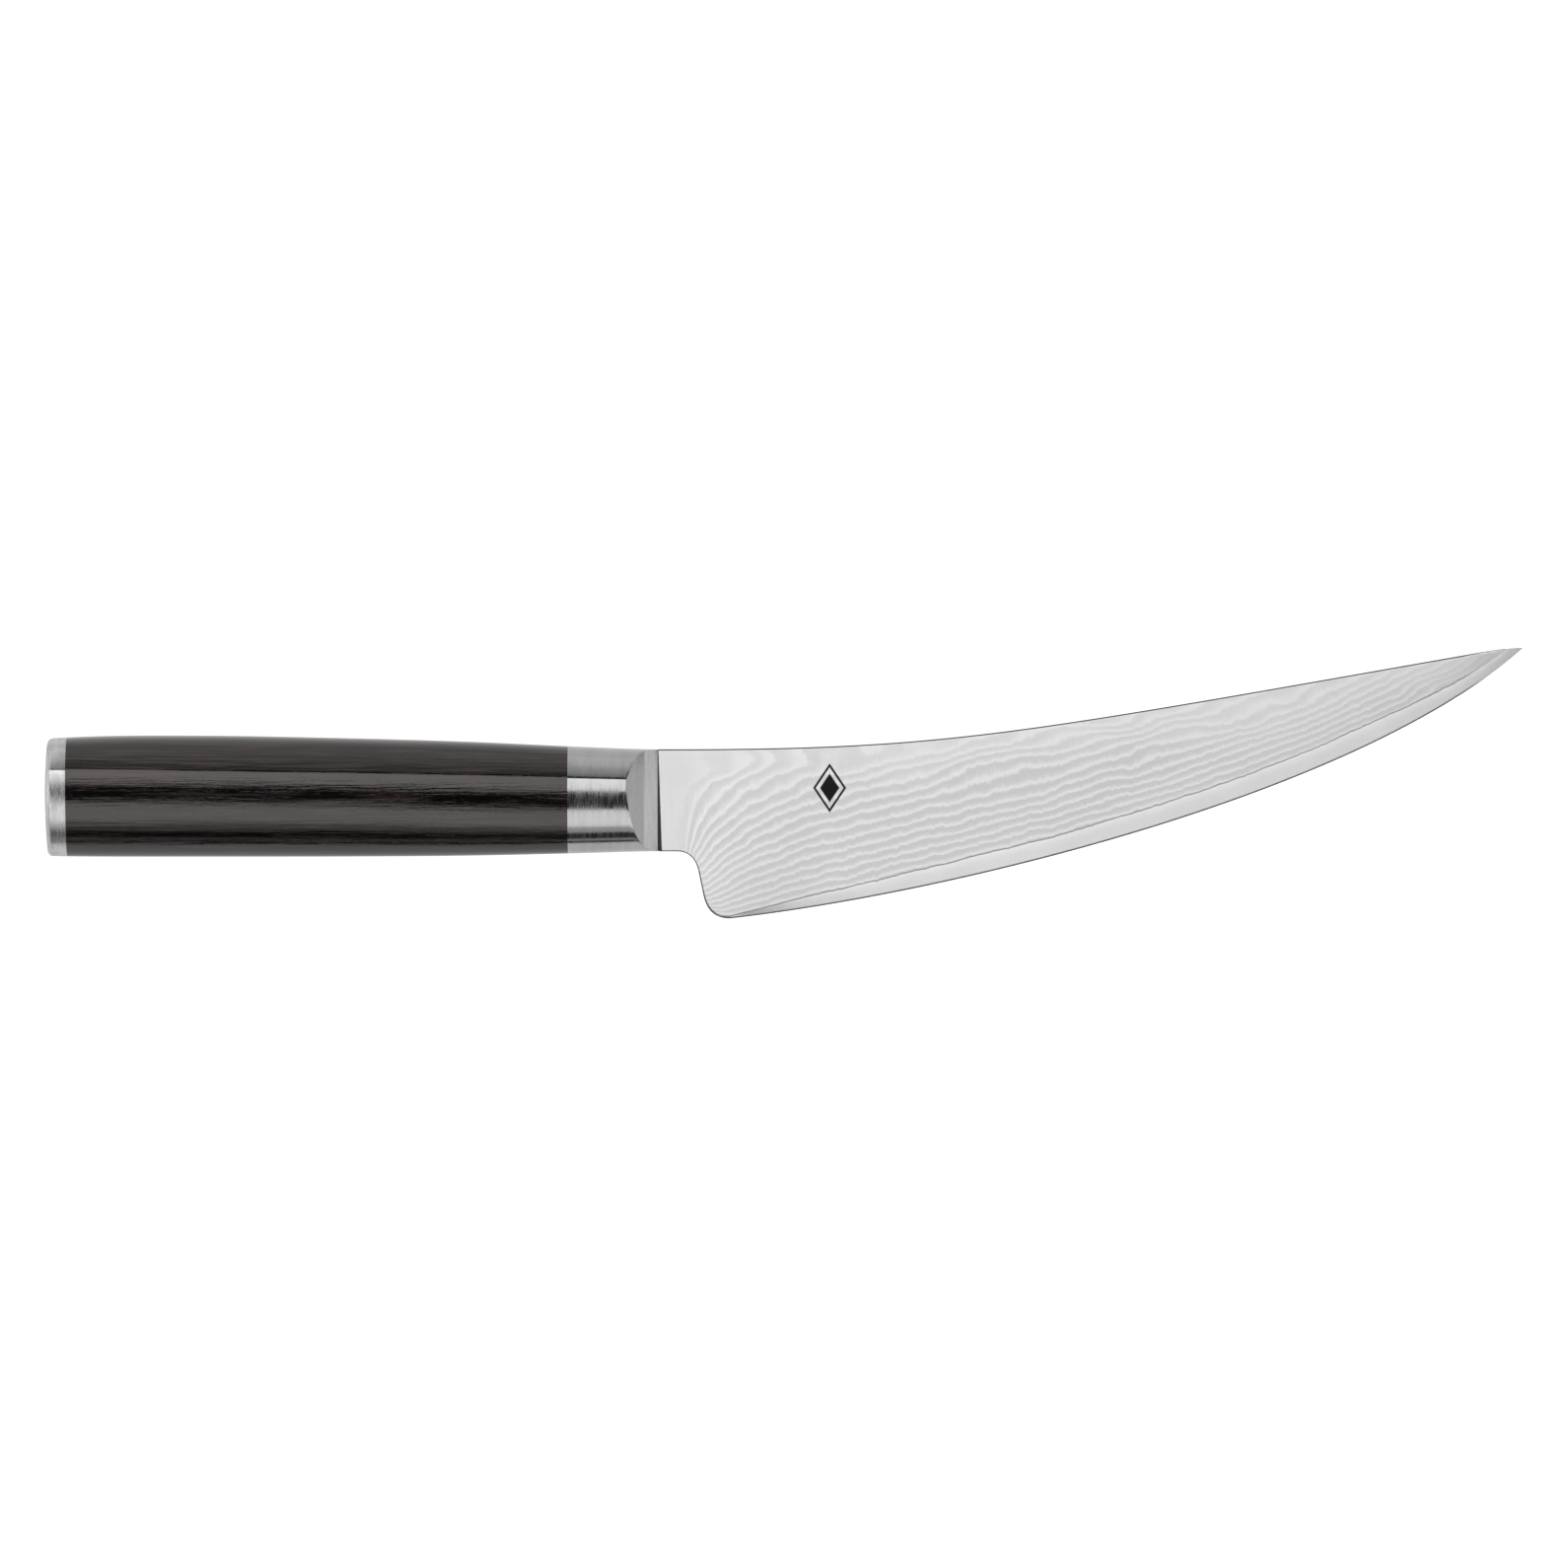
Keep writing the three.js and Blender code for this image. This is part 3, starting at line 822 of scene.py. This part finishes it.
def groundFront(bm):
    # splits the front along the two flats of each hollow, takes off what is above them and
    # fills the flats
    everything = bm.verts[:] + bm.edges[:] + bm.faces[:]
    bmesh.ops.bisect_plane(bm, geom=everything, dist=hair / 10,
                           plane_co=(bolster["moonMiddle"], 0, 0), plane_no=(1, 0, 0))
    spans = (
        (-100, bolster["moonMiddle"], bolster["moonStart"], bolster["moonReach"]),
        (bolster["moonMiddle"], 100, bolster["front"], bolster["frontHalf"]),
    )
    for side in (1, -1):
        for low, high, x, z in spans:
            faces = [f for f in bm.faces if low < f.calc_center_median().x < high]
            parts = {v for f in faces for v in f.verts} | {e for f in faces for e in f.edges}
            along = Vector((bolster["moonMiddle"] - x, 0, bolster["moonMiddleReach"] - z))
            normal = Vector((along.z, 0, -along.x)).normalized()
            bmesh.ops.bisect_plane(
                bm, geom=list(parts) + faces, dist=hair / 10,
                plane_co=(x, 0, side * z), plane_no=(normal.x, 0, side * normal.z))
    spare = []
    for face in bm.faces:
        centre = face.calc_center_median()
        if abs(centre.z) > moonHeight(centre.x) + hair and centre.x < bolster["front"] - hair:
            spare.append(face)
    # the front face is split too: what lies outside its narrow middle goes
    for face in bm.faces:
        centre = face.calc_center_median()
        if centre.x >= bolster["front"] - hair and abs(centre.z) > bolster["frontHalf"]:
            spare.append(face)
    bmesh.ops.delete(bm, geom=spare, context="FACES")
    for side in (1, -1):
        rim = [e for e in bm.edges if e.is_boundary and e.verts[0].co.z * side > 0]
        middle = [v for v in {v for e in rim for v in e.verts}
                  if abs(v.co.x - bolster["moonMiddle"]) < hair]
        middle.sort(key=lambda v: v.co.y)
        rim.append(bm.edges.new((middle[0], middle[-1])))
        made = bmesh.ops.edgenet_fill(bm, edges=rim, mat_nr=1)
        for face in made["faces"]:
            face.material_index = 1


bm = wrapRings([dRing(x) for x in bolster["rings"]])
closeEnds(bm)
groundFront(bm)
softenEdges(bm, edgesWhere(bm, isRidge), bolster["ridgeSoft"])
moonRim = [e for e in bm.edges if {f.material_index for f in e.link_faces} == {0, 1}]
softenEdges(bm, moonRim, bolster["edgeSoft"], 2)

polished = {
    "colour": (0.50, 0.50, 0.503),
    "squeeze": (1, 0.09, 0.09),
    "lineScale": 4300,
    "lineSpread": (0.36, 0.64),      # noise values that stand for the smoothest and roughest line
    "cloudScale": 160,
    "cloudLow": 0.94,
    "streakLow": 0.93,
    "roughLow": 0.10,
    "roughHigh": 0.20,
    "bump": 0.25,
    "bumpDepth": 0.00003,
}
ground = dict(polished, colour=(0.33, 0.33, 0.333), roughLow=0.22, roughHigh=0.34,
              streakLow=0.95, bump=0.15)
polishedSteel = steelMaterial("polishedSteel", polished)
groundSteel = steelMaterial("groundSteel", ground)
finish(bm, "bolsterBlock", ["bolster"], [polishedSteel, groundSteel])
print("bolster done")

handle = {
    "front": -17.0,
    "back": -110.15,
    "rings": 48,
    "ridgeSoft": 0.55,
}
handleRings = [dRing(mix(handle["back"], handle["front"], i / handle["rings"]))
               for i in range(handle["rings"] + 1)]
bm = wrapRings(handleRings)
closeEnds(bm)
softenEdges(bm, edgesWhere(bm, isRidge), handle["ridgeSoft"], 3)

wood = {
    "dark": (0.0016, 0.0013, 0.0013),
    "light": (0.025, 0.018, 0.016),
    "roughLow": 0.04,
    "roughHigh": 0.12,
    "ior": 1.75,
    "tint": (1.0, 0.94, 0.92, 1),
    "grain": ((0.035, 1, 1), 2200),      # squeeze along the handle, and scale
    "broad": ((0.05, 1, 1), 800),
    "fibres": (0.22, 0.36),              # grain values where the pale fibres begin and are full
    "bump": 0.45,
    "bumpDepth": 0.00006,
}


def woodMaterial():
    material, tree, shader = newMaterial("laminatedWood")
    shader.inputs["IOR"].default_value = wood["ior"]
    shader.inputs["Specular Tint"].default_value = wood["tint"]
    grain = placeLines(tree, *wood["grain"])
    broad = placeLines(tree, *wood["broad"])
    mask = mathNode(tree, "MULTIPLY", grain.outputs["Lines"], broad.outputs["Lines"])
    mask = rangeNode(tree, mask, *wood["fibres"], 0.0, 1.0)
    tree.links.new(mixColour(tree, mask, wood["dark"], wood["light"]), shader.inputs["Base Color"])
    rough = rangeNode(tree, grain.outputs["Streaks"], noiseLow, noiseHigh,
                      wood["roughLow"], wood["roughHigh"])
    tree.links.new(rough, shader.inputs["Roughness"])
    height = mathNode(tree, "ADD", mathNode(tree, "MULTIPLY", grain.outputs["Lines"], 0.8),
                      mathNode(tree, "MULTIPLY", broad.outputs["Lines"], 1.4))
    addBump(tree, shader, height, wood["bump"], wood["bumpDepth"])
    return material


darkWood = woodMaterial()
finish(bm, "handleBody", ["handle_body"], [darkWood])
print("handle done")

cap = {
    "front": -110.15,
    "butt": -114.3,
    "round": 1.0,
    "dome": 0.5,
    "middleRing": 0.7,
    "faceRings": (0.04, 0.2, 0.4, 0.6, 0.78, 0.9),
    "edgeSteps": 7,
    "ridgeSoft": 0.1,
}
capRings = []
for share in cap["faceRings"]:
    ring = dRing(cap["butt"] + cap["dome"], cap["round"], cap["dome"] * (1 - share ** 2))
    capRings.append([Vector((p.x, p.y * share, p.z * share)) for p in ring])
for i in range(cap["edgeSteps"] + 1):
    a = (1 - i / cap["edgeSteps"]) * quarterTurn
    x = cap["butt"] + cap["dome"] + cap["round"] * (1 - sin(a))
    capRings.append(dRing(x, cap["round"] * (1 - cos(a))))
capRings.append(dRing(mix(cap["butt"], cap["front"], cap["middleRing"])))
capRings.append(dRing(cap["front"]))
bm = wrapRings(capRings)
closeEnds(bm)
ridge = edgesWhere(bm, lambda co: isRidge(co) and co.x > cap["butt"] + cap["round"])
softenEdges(bm, ridge, cap["ridgeSoft"])

capLook = dict(polished, colour=(0.71, 0.71, 0.715), cloudScale=380, cloudLow=0.8, roughLow=0.21,
               roughHigh=0.31, streakLow=0.88, bump=0.25)
capSteel = steelMaterial("capSteel", capLook)
finish(bm, "endCap", ["end_cap"], [capSteel])
print("end cap done")

# Pieces inside the handle keep their shape and get their finish.
plain = dict(polished, colour=(0.42, 0.42, 0.43), squeeze=(1, 1, 1), lineScale=900,
             roughLow=0.35, roughHigh=0.55)
plainSteel = steelMaterial("plainSteel", plain)
resin = {
    "colour": (0.15, 0.14, 0.10),
    "cloudScale": 300,
    "cloudLow": 0.7,
    "roughLow": 0.45,
    "roughHigh": 0.65,
    "bump": 0.3,
    "bumpDepth": 0.0001,
}


def resinMaterial():
    material, tree, shader = newMaterial("curedResin")
    cloud = placeCloud(tree, resin["cloudScale"], resin["cloudLow"], 1.0)
    tree.links.new(scaledColour(tree, cloud, resin["colour"]), shader.inputs["Base Color"])
    rough = rangeNode(tree, cloud, resin["cloudLow"], 1.0, resin["roughLow"], resin["roughHigh"])
    tree.links.new(rough, shader.inputs["Roughness"])
    addBump(tree, shader, cloud, resin["bump"], resin["bumpDepth"])
    return material


innerLooks = {
    "tang_bar": plainSteel,
    "tang_stud": plainSteel,
    "stud_washer": plainSteel,
    "stud_nut": plainSteel,
    "tang_adhesive": resinMaterial(),
}
for node, material in innerLooks.items():
    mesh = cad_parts[node].data
    mesh.materials.clear()
    mesh.materials.append(material)
print("inner pieces done")

camera = {
    "distance": 2.9,
    "across": 0.2918,        # width of the view at the middle plane of the blade
    "offset": (-0.00004, -0.00017),
}
cameraData = bpy.data.cameras.new("camera")
cameraData.sensor_width = 36
cameraData.lens = 36 * camera["distance"] / camera["across"]
cameraData.clip_start = 0.1
cameraData.clip_end = 60
cameraObject = bpy.data.objects.new("camera", cameraData)
cameraObject.location = (*camera["offset"], toFrame.translation.z + camera["distance"])
bpy.context.scene.collection.objects.link(cameraObject)
bpy.context.scene.camera = cameraObject

stage = {
    "floorSize": 400.0,
    "floorGlow": 0.90,
    "floorPaint": 0.40,
    "floorMirrored": 0.74,
    "roomSeen": 1.15,
    "roomMirrored": 0.025,   # over the knife from side to side
    "roomEnds": 0.55,        # past its tip and butt
    "endsFrom": 0.28,        # share of a direction along the knife where the ends begin
    "endsFully": 0.6,
}

bm = bmesh.new()
bmesh.ops.create_grid(bm, x_segments=1, y_segments=1, size=stage["floorSize"] / 2)
floorMesh = bpy.data.meshes.new("floor")
bm.to_mesh(floorMesh)
bm.free()
floor = bpy.data.objects.new("floor", floorMesh)
floor.location.z = cadBounds[0][2] - 0.0002
bpy.context.scene.collection.objects.link(floor)
floorMaterial = bpy.data.materials.new("floorWhite")
floorMaterial.use_nodes = True
floorTree = floorMaterial.node_tree
floorTree.nodes.clear()
floorSeen = addNode(floorTree, "ShaderNodeEmission", in_Strength=stage["floorGlow"])
floorMirrored = addNode(floorTree, "ShaderNodeEmission", in_Strength=stage["floorMirrored"])
floorPaint = addNode(floorTree, "ShaderNodeBsdfDiffuse")
floorPaint.inputs["Color"].default_value = (*[stage["floorPaint"]] * 3, 1)
floorBoth = addNode(floorTree, "ShaderNodeAddShader")
floorPath = addNode(floorTree, "ShaderNodeLightPath")
floorMix = addNode(floorTree, "ShaderNodeMixShader")
floorOut = addNode(floorTree, "ShaderNodeOutputMaterial")
floorTree.links.new(floorSeen.outputs[0], floorBoth.inputs[0])
floorTree.links.new(floorPaint.outputs[0], floorBoth.inputs[1])
floorTree.links.new(floorPath.outputs["Is Camera Ray"], floorMix.inputs[0])
floorTree.links.new(floorMirrored.outputs[0], floorMix.inputs[1])
floorTree.links.new(floorBoth.outputs[0], floorMix.inputs[2])
floorTree.links.new(floorMix.outputs[0], floorOut.inputs["Surface"])
floorMesh.materials.append(floorMaterial)

world = bpy.data.worlds.new("room")
world.use_nodes = True
roomGlow = world.node_tree.nodes["Background"]
roomGlow.inputs["Color"].default_value = (1, 1, 1, 1)
roomWay = world.node_tree.nodes.new("ShaderNodeTexCoord")
roomSplit = world.node_tree.nodes.new("ShaderNodeSeparateXYZ")
world.node_tree.links.new(roomWay.outputs["Generated"], roomSplit.inputs[0])
towardsEnds = mathNode(world.node_tree, "ABSOLUTE", roomSplit.outputs["X"])
roomMirrored = rangeNode(world.node_tree, towardsEnds, stage["endsFrom"], stage["endsFully"],
                         stage["roomMirrored"], stage["roomEnds"])
roomPath = addNode(world.node_tree, "ShaderNodeLightPath")
roomStrength = rangeNode(world.node_tree, roomPath.outputs["Is Camera Ray"], 0, 1,
                         roomMirrored, stage["roomSeen"], "LINEAR")
world.node_tree.links.new(roomStrength, roomGlow.inputs["Strength"])
bpy.context.scene.world = world

# Softboxes along the knife: lean is the angle from straight up, towards the edge if negative.
lights = {
    "overhead": {"lean": (-10, 40), "distance": 3.4, "length": 3.0, "centreX": -0.8, "glow": 1.42},
    "edgeSide": {"lean": (-50, -27), "distance": 3.0, "length": 4.0, "centreX": 0, "glow": 0.73},
    "edgeSideWide": {"lean": (-61, -28), "distance": 3.1, "length": 4.0, "centreX": 0, "glow": 0.46},
    "edgeSideLow": {"lean": (-82, -76), "distance": 3.0, "length": 4.0, "centreX": 0, "glow": 0.36},
    "spineSide": {"lean": (57, 89), "distance": 3.0, "length": 4.0, "centreX": 0, "glow": 0.42},
    "spineSideLow": {"lean": (63, 89), "distance": 3.1, "length": 4.0, "centreX": 0, "glow": 0.32},
}
wattsPerGlow = pi      # for each square metre of softbox


def addSoftbox(name, look):
    low, high = (radians(a) for a in look["lean"])
    middle, halfSpread = (low + high) / 2, (high - low) / 2
    data = bpy.data.lights.new(name, "AREA")
    data.shape = "RECTANGLE"
    data.size = look["length"]
    data.size_y = 2 * look["distance"] * tan(halfSpread)
    data.energy = look["glow"] * wattsPerGlow * data.size * data.size_y
    box = bpy.data.objects.new(name, data)
    box.location = (look["centreX"], look["distance"] * sin(middle), look["distance"] * cos(middle))
    box.rotation_euler = (-middle, 0, 0)
    bpy.context.scene.collection.objects.link(box)


for name, look in lights.items():
    addSoftbox(name, look)

# Tall panels past the tip and the butt.
panels = {
    "tipSide": {"x": 3.0, "height": 2.8, "width": 3.0, "glow": 1.05, "turn": 90},
    "buttSide": {"x": -3.0, "height": 2.8, "width": 3.0, "glow": 0.42, "turn": -90},
}
for name, look in panels.items():
    data = bpy.data.lights.new(name, "AREA")
    data.shape = "RECTANGLE"
    data.size, data.size_y = look["width"], look["height"]
    data.energy = look["glow"] * wattsPerGlow * data.size * data.size_y
    panel = bpy.data.objects.new(name, data)
    panel.location = (look["x"], 0, look["height"] / 2)
    panel.rotation_euler = (radians(90), 0, radians(look["turn"]))
    bpy.context.scene.collection.objects.link(panel)

settings = bpy.context.scene.view_settings
settings.view_transform = "Standard"
settings.look = "None"
settings.exposure = 0.0
settings.gamma = 1.0
print("stage done")
